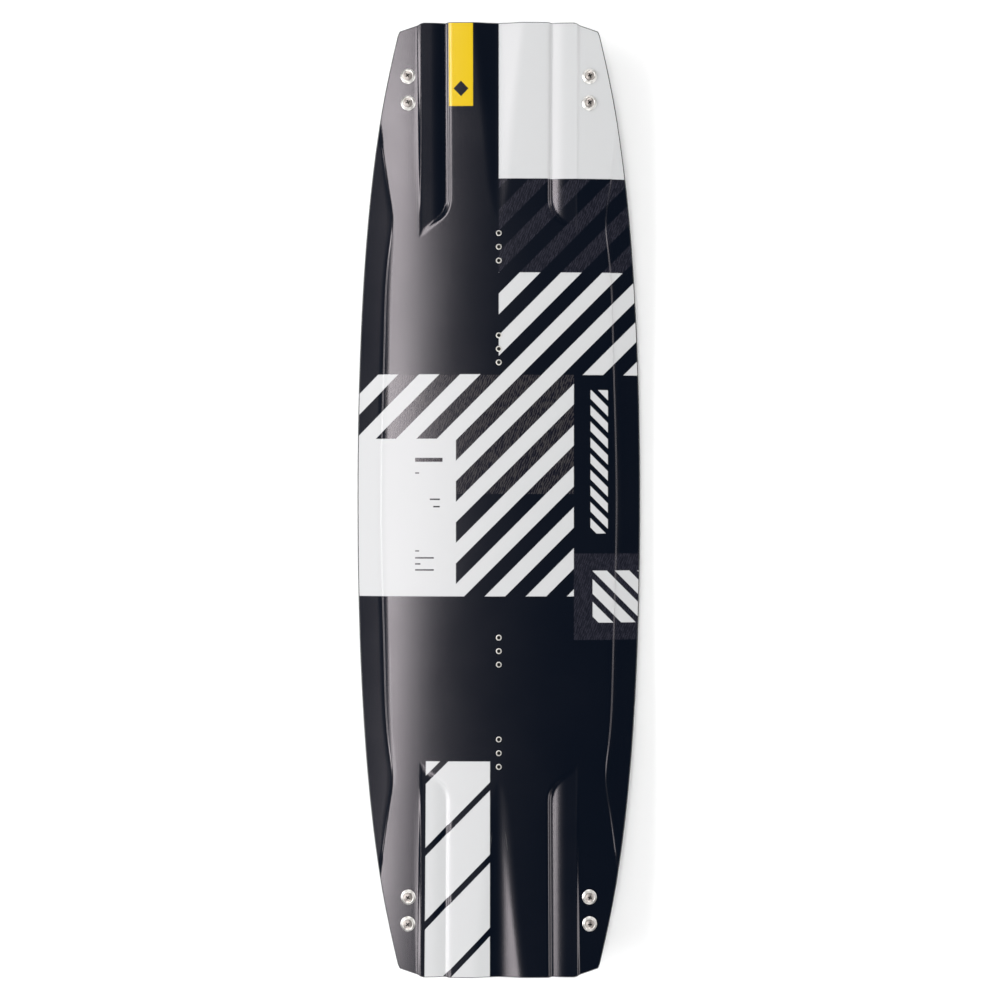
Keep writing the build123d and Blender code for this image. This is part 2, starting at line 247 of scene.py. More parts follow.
def on_line(points, x):
    """Height at x of the straight line through two points."""
    (x0, z0), (x1, z1) = points
    return z0 + (z1 - z0) * (x - x0) / (x1 - x0)


def soft_min(one, two, reach):
    """The smaller of two values, rounded over where they are within reach of each other."""
    overlap = max(reach - abs(one - two), 0.0) / reach
    return min(one, two) - overlap**2 * reach / 4


def channel_floor(x):
    """Cross-section height of a channel's ridged floor."""
    return soft_min(on_line(CHANNEL_FLOOR[:2], x), on_line(CHANNEL_FLOOR[1:], x), CHANNEL_RIDGE)


def channel_depth(x, y, full):
    """Depth at one point of a channel that is this deep on its floor, with smooth walls and a rolled lip."""
    side = x - CHANNEL_WALL_START
    shoulder = CHANNEL_SHOULDER_NORMAL[0] * side + CHANNEL_SHOULDER_NORMAL[1] * (y - CHANNEL_SHOULDER)
    inside = soft_min(side, shoulder, CHANNEL_ROUNDING)
    lip = CHANNEL_LIP_SLOPE * min(max(inside + CHANNEL_LIP, 0.0), CHANNEL_LIP)
    share = ramp(inside / CHANNEL_WALL)
    return (lip * (1 - share) + full * share) * (1 - ramp((x - CHANNEL_OUTER) / CHANNEL_OUTER_WALL))


def valley_depth(x, y, whole):
    """Depth of the tip valley at one point, rounded at its bottom and where it leaves the deck."""
    line = VALLEY_SLOPE * math.hypot(x, VALLEY_ROUNDING) - VALLEY_LOWERING
    floor = carried(line, y, VALLEY[0], MIDDLE_THICKNESS + VALLEY[1])
    reach = VALLEY_BLEND * between(y, *VALLEY_BLENDS) + LEAST_BLEND
    return -soft_min(0.0, floor - whole, reach)


def deck_height(x, y):
    """Height of the shaped deck above the middle of the underside."""
    x, y = abs(x), abs(y)
    crown = -drop(x, CROWN_RADIUS)
    whole = carried(crown, y, DECK_RADIUS, MIDDLE_THICKNESS)
    band = carried(on_line(BAND_LINE, x), y, DECK_RADIUS, MIDDLE_THICKNESS)
    sinks = [ramp((x - band_x(y)) / band_wall(y)) * (whole - band)]
    if y > CHANNEL_SHOULDER - CHANNEL_OUTER:
        floor = carried(channel_floor(x), y, DECK_RADIUS, MIDDLE_THICKNESS)
        sinks.append(channel_depth(x, y, whole - floor))
    if y > FLANK_LEAVES:
        flank = carried(crown, y, FLANK[0], MIDDLE_THICKNESS + FLANK[1])
        sinks.append(ramp((x - CHANNEL_OUTER) / CHANNEL_OUTER_WALL) * (whole - flank))
    if y > VALLEY_LEAVES and x < VALLEY_HALF_WIDTH:
        sinks.append(valley_depth(x, y, whole))
    return whole - max(sinks)


def belly_height(x, y, up=0.0):
    """Height of the underside, raised by up into the board."""
    reach = BELLY_RADIUS + drop(abs(x), CONCAVE_RADIUS) - up
    return BELLY_RADIUS - math.sqrt(reach**2 - y**2)


# Meshes


def steps(start, end, count):
    """Evenly spaced values from start, without end."""
    return [start + (end - start) * i / count for i in range(count)]


def tidy(mesh, angle=32.0):
    """Merges doubled points, turns faces outwards and shades smoothly between sharp edges."""
    work = bmesh.new()
    work.from_mesh(mesh)
    bmesh.ops.remove_doubles(work, verts=work.verts, dist=1e-7)
    bmesh.ops.recalc_face_normals(work, faces=work.faces)
    work.to_mesh(mesh)
    work.free()
    mesh.shade_smooth()
    mesh.set_sharp_from_angle(angle=math.radians(angle))
    return mesh


def mesh_from(name, points, faces):
    """Mesh in metres from points in millimetres."""
    mesh = bpy.data.meshes.new(name)
    mesh.from_pydata([Vector(point) * MM for point in points], [], faces)
    return tidy(mesh)


def loft(name, rings, closed=False):
    """Closed skin through rings that have the same number of points."""
    size = len(rings[0])
    points = [point for ring in rings for point in ring]
    faces = []
    last = len(rings) if closed else len(rings) - 1
    for i in range(last):
        here, there = i * size, (i + 1) % len(rings) * size
        for j in range(size):
            k = (j + 1) % size
            faces.append((here + j, here + k, there + k, there + j))
    if not closed:
        faces.append(tuple(range(size)))
        faces.append(tuple(range(len(points) - size, len(points))))
    return mesh_from(name, points, faces)


def turned(name, profile, sides=48):
    """Solid of revolution of a closed (radius, height) profile."""
    rings = []
    for angle in steps(0, 2 * math.pi, sides):
        rings.append([(r * math.cos(angle), r * math.sin(angle), z) for r, z in profile])
    return loft(name, rings, closed=True)


def rounded(centre, radius, start, end, count=6):
    """Points on an arc of a profile, with its angles in degrees."""
    angles = [math.radians(start + (end - start) * i / count) for i in range(count + 1)]
    return [(centre[0] + radius * math.cos(a), centre[1] + radius * math.sin(a)) for a in angles]


def row_shares():
    """Rows of the sheets along the board, as shares of the way to the corners, closest at the shoulders."""
    start, end = SHOULDER_ROWS
    half = steps(0, start, 60) + steps(start, end, 40) + steps(end, TIP_RAIL_START, 39)
    half += steps(TIP_RAIL_START, CORNER[1], 5) + [CORNER[1]]
    shares = [y / CORNER[1] for y in half]
    return [-share for share in reversed(shares[1:])] + shares


def column_xs(y, inset):
    """x of the sheets' columns at y, closest on the walls of the relief."""
    edge = edge_x(y, inset)
    band = min(band_x(y), edge - 12)
    wall = min(band_wall(y), edge - band - 4)
    wall_end = CHANNEL_WALL_START + CHANNEL_WALL
    outer_end = CHANNEL_OUTER + CHANNEL_OUTER_WALL
    lip = CHANNEL_WALL_START - CHANNEL_LIP
    ridge, past_ridge = RIDGE_SIDES
    half = steps(0, VALLEY_SIDE, 24) + steps(VALLEY_SIDE, lip, 5) + steps(lip, CHANNEL_WALL_START, 3)
    half += steps(CHANNEL_WALL_START, wall_end, 14) + steps(wall_end, ridge, 6)
    half += steps(ridge, past_ridge, 8) + steps(past_ridge, CHANNEL_OUTER, 4)
    half += steps(CHANNEL_OUTER, outer_end, 10) + steps(outer_end, band, 6)
    half += steps(band, band + wall, 8) + steps(band + wall, edge, 5) + [edge]
    return [-x for x in reversed(half[1:])] + half


def sheet(name, inset, upper, lower):
    """Closed sheet over the whole plan between two height functions."""
    rows = []
    for share in row_shares():
        corner_y = CORNER[1] * shrunk(inset)[1]
        xs = column_xs(share * corner_y, inset)
        rows.append([(x, share * tip_y(x, inset)) for x in xs])
    wide, long = len(rows[0]), len(rows)
    plan = [point for row in rows for point in row]
    points = [(x, y, upper(x, y) + LIFT) for x, y in plan]
    points += [(x, y, lower(x, y) + LIFT) for x, y in plan]
    under = len(plan)
    faces = []
    for i in range(long - 1):
        for j in range(wide - 1):
            a, b = i * wide + j, (i + 1) * wide + j
            faces.append((a, a + 1, b + 1, b))
            faces.append((under + a, under + b, under + b + 1, under + a + 1))
    border = list(range(wide))
    border += [i * wide + wide - 1 for i in range(1, long)]
    border += [(long - 1) * wide + j for j in range(wide - 2, -1, -1)]
    border += [i * wide for i in range(long - 2, 0, -1)]
    for a, b in zip(border, border[1:] + border[:1]):
        faces.append((a, under + a, under + b, b))
    return mesh_from(name, points, faces)


def rail_ring(x, y):
    """Section of the edge rail at one point of the outline."""
    ring = []
    for inset, below in RAIL_TOP:
        across, along = shrunk(inset)
        px, py = x * across, y * along
        ring.append((px, py, deck_height(px, py) - below + LIFT))
    for inset in (RAIL_TOP[-1][0], RAIL_TOP[0][0]):
        across, along = shrunk(inset)
        px, py = x * across, y * along
        ring.append((px, py, belly_height(px, py, UNDER_RAIL) + LIFT))
    return ring


def side_rail(name, side):
    """Rail along one side, up to where the tip rails start."""
    ys = [share * CORNER[1] for share in row_shares()]
    ys = [y for y in ys if abs(y) <= TIP_RAIL_START + 0.01]
    return loft(name, [rail_ring(side * edge_x(y), y) for y in ys])


def tip_rail(name, end):
    """Rail round one tip, between the two side rails."""
    ys = steps(TIP_RAIL_START, CORNER[1], 5)
    right = [(edge_x(y), y) for y in ys]
    across = [(x, tip_y(x)) for x in reversed(column_xs(CORNER[1], 0.0))]
    left = [(-x, y) for x, y in reversed(right)]
    return loft(name, [rail_ring(x, end * y) for x, y in right + across + left])


def gathered(name, template, places):
    """One mesh with a copy of the template at each place."""
    work = bmesh.new()
    for place in places:
        copy = template.copy()
        copy.transform(place)
        work.from_mesh(copy)
        bpy.data.meshes.remove(copy)
    mesh = bpy.data.meshes.new(name)
    work.to_mesh(mesh)
    work.free()
    return tidy(mesh)


def carved(mesh, cutter):
    """The mesh with the cutter taken away."""
    body = bpy.data.objects.new("carved_body", mesh)
    tool = bpy.data.objects.new("carving_tool", cutter)
    for item in (body, tool):
        bpy.context.scene.collection.objects.link(item)
    cut = body.modifiers.new("cut", "BOOLEAN")
    cut.operation = "DIFFERENCE"
    cut.solver = "EXACT"
    cut.object = tool
    seen = body.evaluated_get(bpy.context.evaluated_depsgraph_get())
    result = bpy.data.meshes.new_from_object(seen)
    for item in (body, tool):
        bpy.data.objects.remove(item)
    return tidy(result)


# Places of the hardware


def fin_frame():
    """Frame on the flat beside a channel, with its Z square to the deck, at the front right fin."""
    x, y = FIN_PLACE
    radius, rise = FLANK
    reach = radius + drop(x, CROWN_RADIUS)
    tilt = math.asin(y / reach)
    lean = math.asin(x / CROWN_RADIUS)
    height = MIDDLE_THICKNESS + rise + radius - reach * math.cos(tilt) + LIFT
    normal = Vector((math.sin(lean), -math.sin(tilt) * math.cos(lean), math.cos(tilt) * math.cos(lean)))
    right = Vector((normal.z, 0, -normal.x)).normalized()
    turn = Matrix((right, normal.cross(right), normal)).transposed().to_4x4()
    return Matrix.Translation(Vector((x, y, height)) * MM) @ turn


FIN_FRAME = fin_frame()
CORNERS = {
    "front_right": Matrix.Diagonal((1, 1, 1, 1)),
    "front_left": Matrix.Diagonal((-1, 1, 1, 1)),
    "rear_right": Matrix.Diagonal((1, -1, 1, 1)),
    "rear_left": Matrix.Diagonal((-1, -1, 1, 1)),
}


def bolt_places(corner, turns=(0.0, 0.0)):
    """Where the two bolts of a corner's fin go, each turned by its own angle in degrees."""
    places = []
    for side, turn in zip((-0.5, 0.5), turns):
        along = Matrix.Translation((0, side * FIN_BOLT_SPACING * MM, 0))
        places.append(CORNERS[corner] @ FIN_FRAME @ along @ Matrix.Rotation(math.radians(turn), 4, "Z"))
    return places


def insert_places(end, centre):
    """Where one group of three inserts goes, each with its top at the lower side of its hole."""
    places = []
    for i in (-1, 0, 1):
        y = centre + i * INSERT_PITCH
        top = carried(0.0, y - INSERT_RADIUS, DECK_RADIUS, MIDDLE_THICKNESS) + LIFT
        places.append(Matrix.Translation(Vector((0, end * y, top)) * MM))
    return places


# Hardware


def washer_mesh():
    """Dished finishing washer with a rolled crest and a conical seat."""
    profile = [(WASHER_HOLE, 0.0), (WASHER_RADIUS - 0.3, 0.0)]
    profile += rounded((WASHER_RADIUS - 0.45, 0.45), 0.45, -60, 80)
    profile += [(9.75, 1.35), (9.1, 2.25)]
    profile += rounded((7.75, 2.35), 1.0, 30, 150)
    profile += [(6.35, 2.45), (5.0, 1.75), (WASHER_HOLE, 0.6)]
    return turned("washer", profile, 64)


def with_painted_shade(mesh, radius, low, high):
    """The mesh with its second material, a dark painted shade, on faces near the axis, between two heights.
    """
    for face in mesh.polygons:
        centre = Vector(face.center) / MM
        near = math.hypot(centre.x, centre.y) < radius
        face.material_index = int(near and low < centre.z < high)
    return mesh


def cross_cutter():
    """Tapered cross-shaped tool for a screw's recess."""
    rings = []
    for level, reach, half in RECESS:
        arm = [(half, half), (reach, half), (reach, -half), (half, -half)]
        ring = []
        for quarter in range(4):
            for x, y in arm[1:]:
                turn = -quarter * math.pi / 2
                px = x * math.cos(turn) - y * math.sin(turn)
                py = x * math.sin(turn) + y * math.cos(turn)
                ring.append((px, py, HEAD_HEIGHT + level))
        rings.append(ring)
    return loft("cross_cutter", rings)


def screw_mesh():
    """Raised countersunk screw with threads and a cross recess."""
    crest = HEAD_HEIGHT + 1.0
    shoulder = HEAD_RADIUS - 0.25
    profile = [(0.0, crest), (1.6, crest - 0.05), (3.2, crest - 0.22), (4.6, crest - 0.5)]
    profile += [(shoulder - 0.45, crest - 0.82)]
    profile += rounded((shoulder, HEAD_HEIGHT - 0.25), 0.25, 60, -60)
    profile += [(3.2, 0.75), (SCREW_RADIUS, 0.3)]
    for i in range(SCREW_TURNS):
        top = -i * THREAD_PITCH
        profile += [(SCREW_RADIUS, top), (SCREW_RADIUS, top - 0.15), (SCREW_RADIUS - 0.5, top - 0.5)]
        profile += [(SCREW_RADIUS, top - 0.85)]
    profile += [(2.3, -12.0), (0.0, -12.0)]
    mesh = carved(turned("screw", profile), cross_cutter())
    # Faces inside the cross recess get the second material, a dark painted shade.
    return with_painted_shade(mesh, RECESS_SHADE_REACH, HEAD_HEIGHT - 2.2, crest - 0.3)


def insert_mesh():
    """Flanged insert with a chamfered, threaded blind bore, its top at height zero."""
    rim = INSERT_RADIUS - 0.04
    profile = [(0.0, -INSERT_DEPTH), (INSERT_BORE, -INSERT_DEPTH)]
    for i in range(int(INSERT_DEPTH) - 1):
        foot = -INSERT_DEPTH + 0.4 + i
        profile += [(INSERT_BORE, foot), (INSERT_BORE + INSERT_THREAD, foot + 0.5), (INSERT_BORE, foot + 0.9)]
    profile += [(INSERT_BORE, -0.4), (INSERT_BORE + 0.25, -0.1), (INSERT_BORE + 0.35, 0.0)]
    profile += rounded((rim - 0.3, -0.3), 0.3, 90, 0, 4)
    profile += [(rim, -5.4), (7.4, -5.4), (7.4, -INSERT_DEPTH - 0.3), (0.0, -INSERT_DEPTH - 0.3)]
    # Faces inside the bore get the second material, a dark painted shade.
    return with_painted_shade(turned("insert", profile, 40), BORE_SHADE_REACH, -INSERT_DEPTH - 0.1, -0.2)


def flare(share):
    """Curve that steepens towards 1, for the fin's root."""
    return min(share, 1.0) ** 1.35


def fin_half_thickness(height):
    """Half the fin's thickness at a height in its own frame."""
    for (wide, top), (narrow, foot) in zip(FIN_SECTION, FIN_SECTION[1:]):
        if height >= foot:
            return narrow + (wide - narrow) * flare((height - foot) / (top - foot))
    return FIN_SECTION[-1][0]


def fin_ring(share, count=28):
    """Section of the fin at a share of the way from root to tip."""
    height = FIN_ROOT + (FIN_TIP - FIN_ROOT) * share
    closing = math.sqrt(max(1 - share**5, 0.0))
    leading = FIN_LEADING[0] + FIN_LEADING[1] * share
    trailing = FIN_TRAILING[0] + FIN_TRAILING[1] * share
    middle, half = (leading + trailing) / 2, (trailing - leading) / 2 * closing
    thick = fin_half_thickness(height) * math.sqrt(closing)
    ring = []
    for angle in steps(0, 2 * math.pi, count):
        along = math.cos(angle)
        bulge = (1 - abs(along) ** 3) * math.copysign(1, math.sin(angle))
        if abs(math.sin(angle)) < 1e-6:
            bulge = 0.0
        ring.append((bulge * thick, middle + along * half, height))
    return ring


def fin_mesh():
    """Fin at the front right, with its root on the underside."""
    shares = [math.sin(math.pi / 2 * i / 22) for i in range(22)] + [0.9995]
    rings = [fin_ring(share) for share in shares]
    placed = []
    for i, ring in enumerate(rings):
        points = [FIN_FRAME @ (Vector(point) * MM) / MM for point in ring]
        if i == 0:
            points = [(p.x, p.y, belly_height(p.x, p.y) + LIFT) for p in points]
        placed.append([tuple(point) for point in points])
    return loft("fin", placed)


def bolt_hole():
    """Tool for one screw's clearance hole."""
    return turned("bolt_hole", [(0, -30), (WASHER_HOLE, -30), (WASHER_HOLE, 30), (0, 30)], 24)


def insert_hole():
    """Tool for one insert's hole."""
    return turned("insert_hole", [(0, -20), (INSERT_RADIUS, -20), (INSERT_RADIUS, 20), (0, 20)], 48)


# Materials


class Graph:
    """A material with short ways to add nodes to it."""

    def __init__(self, name):
        self.material = bpy.data.materials.new(name)
        self.material.use_nodes = True
        self.tree = self.material.node_tree
        self.shader = self.tree.nodes["Principled BSDF"]
        self.place = self.tree.nodes.new("ShaderNodeTexCoord").outputs["Object"]

    def join(self, socket, value):
        """Links a socket to another one, or gives it a plain value."""
        if isinstance(value, bpy.types.NodeSocket):
            self.tree.links.new(value, socket)
        else:
            socket.default_value = value

    def node(self, kind, **inputs):
        """A node with its inputs joined by name."""
        node = self.tree.nodes.new(kind)
        for name, value in inputs.items():
            self.join(node.inputs[name.replace("_", " ")], value)
        return node

    def shade(self, **inputs):
        """Joins the shader's own inputs by name."""
        for name, value in inputs.items():
            self.join(self.shader.inputs[name.replace("_", " ")], value)

    def math(self, operation, *values):
        """Result of one math node."""
        node = self.tree.nodes.new("ShaderNodeMath")
        node.operation = operation
        for socket, value in zip(node.inputs, values):
            self.join(socket, value)
        return node.outputs[0]

    def mix(self, factor, low, high):
        """Colour between low and high."""
        node = self.tree.nodes.new("ShaderNodeMix")
        node.data_type = "RGBA"
        self.join(node.inputs[0], factor)
        self.join(node.inputs[6], low)
        self.join(node.inputs[7], high)
        return node.outputs[2]

    def span(self, value, low, high):
        """Spreads a 0 to 1 value between low and high."""
        node = self.node("ShaderNodeMapRange", Value=value)
        node.inputs["To Min"].default_value = low
        node.inputs["To Max"].default_value = high
        return node.outputs[0]

    def noise(self, scale, detail=3.0, stretch=(1, 1, 1)):
        """Noise over the object, stretched along an axis."""
        shaped = self.tree.nodes.new("ShaderNodeMapping")
        self.join(shaped.inputs["Vector"], self.place)
        shaped.inputs["Scale"].default_value = stretch
        node = self.node("ShaderNodeTexNoise", Vector=shaped.outputs[0], Scale=scale, Detail=detail)
        return node.outputs["Fac"]

    def bump(self, height, distance):
        """Roughens the shader's normal by a height pattern."""
        node = self.node("ShaderNodeBump", Height=height, Distance=distance)
        self.shade(Normal=node.outputs[0])

    def plan(self):
        """x and y over the board, in millimetres."""
        split = self.node("ShaderNodeSeparateXYZ", Vector=self.place)
        return [self.math("DIVIDE", split.outputs[i], MM) for i in (0, 1)]

    def above(self, value, limit):
        """1 where the value is above a limit, with a soft edge."""
        step = self.math("MULTIPLY_ADD", value, 1 / PRINT_EDGE, 0.5 - limit / PRINT_EDGE)
        step.node.use_clamp = True
        return step

    def below(self, value, limit):
        """1 where the value is below a limit, with a soft edge."""
        return self.outside(self.above(value, limit))

    def inside(self, value, low, high):
        """1 where the value lies between low and high."""
        return self.math("MULTIPLY", self.above(value, low), self.below(value, high))

    def area(self, x, y, x_from, x_to, y_from, y_to):
        """1 inside a rectangle of the plan."""
        return self.math("MULTIPLY", self.inside(x, x_from, x_to), self.inside(y, y_from, y_to))

    def both(self, *masks):
        """1 where every mask is 1."""
        result = masks[0]
        for mask in masks[1:]:
            result = self.math("MULTIPLY", result, mask)
        return result

    def either(self, *masks):
        """1 where any mask is 1."""
        result = masks[0]
        for mask in masks[1:]:
            result = self.math("MAXIMUM", result, mask)
        return result

    def outside(self, mask):
        """1 where the mask is 0."""
        return self.math("SUBTRACT", 1.0, mask)

    def bars(self, value, period, width):
        """1 on evenly repeated bars."""
        from_middle = self.math("PINGPONG", self.math("SUBTRACT", value, width / 2), period / 2)
        return self.below(from_middle, width / 2)


# Print of the deck, in millimetres. FAR is past the board's edge, PRINT_EDGE is the blur of an edge and the
# overlap of white areas, and STRIPES is the period and width of the diagonal stripes, measured along X.
FAR = 800.0
PRINT_EDGE = 1.0
STRIPES = (61.3, 30.6)
FRONT_BLOCK_FOOT = 474.0
STRIPES_TOP = 337.6
MIDDLE_TOP = 186.4
MIDDLE_FOOT = -143.7
MIDDLE_RIGHT = 112.0
BLOCK_TOP = 91.5
BLOCK_RIGHT = -64.0

# Other areas of the print, each as x from, x to, y from and y to, and their bars as period and width
WOVEN_MIDDLE = (-170.0, MIDDLE_RIGHT, 9.0, MIDDLE_TOP)
WOVEN_SIDE = (MIDDLE_RIGHT, FAR, -208.6, -80.0)
SIDE_MARKS = (137.0, 163.0, -50.0, 164.0)
SIDE_MARK_BARS = (24.0, 14.0)
FLAG = (140.0, FAR, -183.0, -105.5)
FLAG_BARS = (34.0, 22.0)
REAR_PANEL = (-108.0, -13.0, -FAR, -387.0)
REAR_PANEL_BARS = (104.0, 92.0)
TAB = (-73.0, -37.7, 577.3, FAR)
DIAMOND = (-55.3, 602.0)
DIAMOND_REACH = 11.0

# Size in millimetres of one repeat of the cloth under the top sheet and in the laminates
TOP_WEAVE = 5.2
LAMINATE_WEAVE = 4.0

# Linear colours
INK = (0.0007, 0.0025, 0.0067, 1)
CARBON = (0.035, 0.0325, 0.034, 1)
CARBON_DARK = (0.001, 0.002, 0.008, 1)
SMOKE = (0.017, 0.0175, 0.026, 1)
SMOKE_DARK = (0.005, 0.006, 0.011, 1)
WHITE = (0.49, 0.495, 0.50, 1)
YELLOW = (0.59, 0.40, 0.002, 1)

# Small dark rules on the low white block: left end, length, foot and height
RULES = [
    (-125, 41, 57.0, 6.0),
    (-125, 6, 39.5, 1.8),
    (-103, 15, 0.0, 2.2),
    (-98, 10, -11.0, 2.2),
    (-125, 6, -77.0, 1.8),
    (-125, 28, -87.5, 2.2),
    (-125, 8, -96.5, 2.2),
    (-125, 28, -105.5, 2.2),
]


def weave(g, x, y, size):
    """Height pattern of a fine diamond cloth weave."""
    turn = 2 * math.pi / size
    one = g.math("SINE", g.math("MULTIPLY", g.math("ADD", x, y), turn))
    two = g.math("SINE", g.math("MULTIPLY", g.math("SUBTRACT", x, y), turn))
    return g.math("MULTIPLY_ADD", g.math("MULTIPLY", one, two), 0.5, 0.5)


def strokes(g, x, y):
    """Short steep strokes of a twill cloth, broken up by noise."""
    across = g.math("MULTIPLY_ADD", y, -0.38, x)
    bent = g.math("ADD", across, g.span(g.noise(120, 2.0), -3.0, 3.0))
    wave = g.math("SINE", g.math("MULTIPLY", bent, 2 * math.pi / 3.6))
    broken = g.span(g.noise(260, 2.0, (1, 0.5, 1)), -3.2, 3.2)
    level = g.math("MULTIPLY_ADD", g.math("ADD", wave, broken), 0.4, 0.5)
    level.node.use_clamp = True
    return level


def striped_print(g, x, y, diagonal):
    """1 on the diagonal white stripes of the front and the middle."""
    front = g.both(g.area(x, y, 0, FAR, MIDDLE_TOP, STRIPES_TOP), diagonal)
    long = g.area(x, y, -FAR, MIDDLE_RIGHT, BLOCK_TOP - PRINT_EDGE, MIDDLE_TOP + PRINT_EDGE)
    tall = g.area(x, y, BLOCK_RIGHT - PRINT_EDGE, MIDDLE_RIGHT, MIDDLE_FOOT, BLOCK_TOP + PRINT_EDGE)
    return g.either(front, g.both(g.either(long, tall), diagonal))


def white_print(g, x, y, diagonal):
    """1 on everything that is printed white."""
    front_block = g.area(x, y, 0, FAR, FRONT_BLOCK_FOOT, FAR)
    low_block = g.area(x, y, -FAR, BLOCK_RIGHT, MIDDLE_FOOT, BLOCK_TOP)
    rules = [g.area(x, y, left, left + length, foot, foot + height) for left, length, foot, height in RULES]
    low_block = g.both(low_block, g.outside(g.either(*rules)))
    slant = g.math("ADD", x, y)
    side_marks = g.both(g.area(x, y, *SIDE_MARKS), g.bars(slant, *SIDE_MARK_BARS))
    flag = g.both(g.area(x, y, *FLAG), g.bars(slant, *FLAG_BARS))
    cuts = g.bars(g.math("SUBTRACT", x, y), *REAR_PANEL_BARS)
    rear_panel = g.both(g.area(x, y, *REAR_PANEL), cuts)
    stripes = striped_print(g, x, y, diagonal)
    return g.either(front_block, low_block, stripes, side_marks, flag, rear_panel)


def dark_print(g, x, y, diagonal):
    """Colour of the parts that aren't white: plain ink, and cloth showing through in two tones."""
    woven_front = g.both(g.area(x, y, 0, FAR, STRIPES_TOP, FRONT_BLOCK_FOOT), diagonal)
    woven = g.either(woven_front, g.area(x, y, *WOVEN_SIDE))
    thread = strokes(g, x, y)
    dark = g.mix(woven, INK, g.mix(thread, SMOKE_DARK, SMOKE))
    return g.mix(g.area(x, y, *WOVEN_MIDDLE), dark, g.mix(thread, CARBON_DARK, CARBON))


def printed_sheet():
    """Satin top sheet with white blocks and stripes, woven dark blocks and one yellow block."""
    g = Graph("printed_sheet")
    x, y = g.plan()
    diagonal = g.bars(g.math("SUBTRACT", x, y), *STRIPES)
    white = white_print(g, x, y, diagonal)
    tab = g.area(x, y, *TAB)
    from_middle = [g.math("ABSOLUTE", g.math("SUBTRACT", *pair)) for pair in zip((x, y), DIAMOND)]
    diamond = g.below(g.math("ADD", *from_middle), DIAMOND_REACH)
    colour = g.mix(white, dark_print(g, x, y, diagonal), WHITE)
    colour = g.mix(tab, colour, YELLOW)
    colour = g.mix(g.both(tab, diamond), colour, INK)

    grain = g.noise(2600, 2.0)
    blotch = g.noise(9, 3.0)
    relief = g.math("MULTIPLY_ADD", grain, 0.5, weave(g, x, y, TOP_WEAVE))
    g.bump(relief, 0.000006)
    rough = g.math("ADD", g.span(blotch, 0.14, 0.2), g.math("MULTIPLY", white, 0.14))
    g.shade(Base_Color=colour, Roughness=rough, IOR=1.6, Specular_Tint=(1.0, 0.92, 0.96, 1))
    return g.material


def plain(name, colour, dark, roughness, metallic=0.0, scale=60.0, stretch=(1, 1, 1), bump=0.00001):
    """Material with a slightly uneven colour, finish and surface."""
    g = Graph(name)
    cloud = g.noise(scale, 4.0, stretch)
    fine = g.noise(scale * 22, 2.0, stretch)
    g.shade(Base_Color=g.mix(cloud, (*dark, 1), (*colour, 1)))
    g.shade(Roughness=g.span(fine, roughness - 0.05, roughness + 0.06), Metallic=metallic)
    g.bump(fine, bump)
    return g.material


def cloth_laminate():
    """Cured carbon cloth."""
    g = Graph("carbon_laminate")
    x, y = g.plan()
    cloth = weave(g, x, y, LAMINATE_WEAVE)
    g.shade(Base_Color=g.mix(cloth, (0.006, 0.006, 0.007, 1), (0.035, 0.035, 0.038, 1)))
    g.shade(Roughness=g.span(cloth, 0.3, 0.45))
    g.bump(cloth, 0.00004)
    return g.material


def wood(name, colour, dark, rings):
    """Wood with its grain along the board."""
    g = Graph(name)
    long_grain = (1, 0.06, 1)
    grain = g.noise(rings, 6.0, long_grain)
    pores = g.noise(rings * 9, 2.0, long_grain)
    lines = g.math("PINGPONG", g.math("MULTIPLY", grain, 9.0), 1.0)
    g.shade(Base_Color=g.mix(lines, (*dark, 1), (*colour, 1)), Roughness=g.span(pores, 0.55, 0.75))
    g.bump(pores, 0.00006)
    return g.material


# Pieces


def show(name, mesh, materials, node):
    """A piece of the board that stands for one CAD node, with one or more finishes."""
    for index, material in enumerate(materials):
        if index == len(mesh.materials):
            mesh.materials.append(material)
        mesh.materials[index] = material
    piece = bpy.data.objects.new(name, mesh)
    bpy.context.scene.collection.objects.link(piece)
    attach(piece, "root")
    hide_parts(node)
    return piece


def add_sheets():
    """Printed deck and gloss underside, with their holes."""
    bolts = [place for corner in CORNERS for place in bolt_places(corner)]
    inserts = [
        place for end in (1, -1) for centre in INSERT_GROUPS.values() for place in insert_places(end, centre)
    ]
    bolt_tools = gathered("bolt_tools", bolt_hole(), bolts)
    deck = sheet("deck", DECK_INSET, deck_height, lambda x, y: deck_height(x, y) - TOP_SHEET)
    deck = carved(carved(deck, bolt_tools), gathered("insert_tools", insert_hole(), inserts))
    show("printed_deck", deck, [printed_sheet()], "top_sheet")
    under = sheet("under", 0.0, lambda x, y: belly_height(x, y, BASE_SHEET), belly_height)
    gloss = plain("gloss_underside", (0.012, 0.013, 0.019), (0.008, 0.009, 0.014), 0.2, scale=8.0)
    show("gloss_underside", carved(under, bolt_tools), [gloss], "base_sheet")


def add_rails():
    """Two side rails and two tip rails."""
    black = plain("planed_rail", (0.012, 0.012, 0.015), (0.006, 0.006, 0.008), 0.38, scale=30.0)
    show("edge_rail_right", side_rail("edge_rail_right", 1), [black], "rail_right")
    show("edge_rail_left", side_rail("edge_rail_left", -1), [black], "rail_left")
    show("edge_rail_tip_front", tip_rail("edge_rail_tip_front", 1), [black], "tip_rail_front")
    show("edge_rail_tip_rear", tip_rail("edge_rail_tip_rear", -1), [black], "tip_rail_rear")


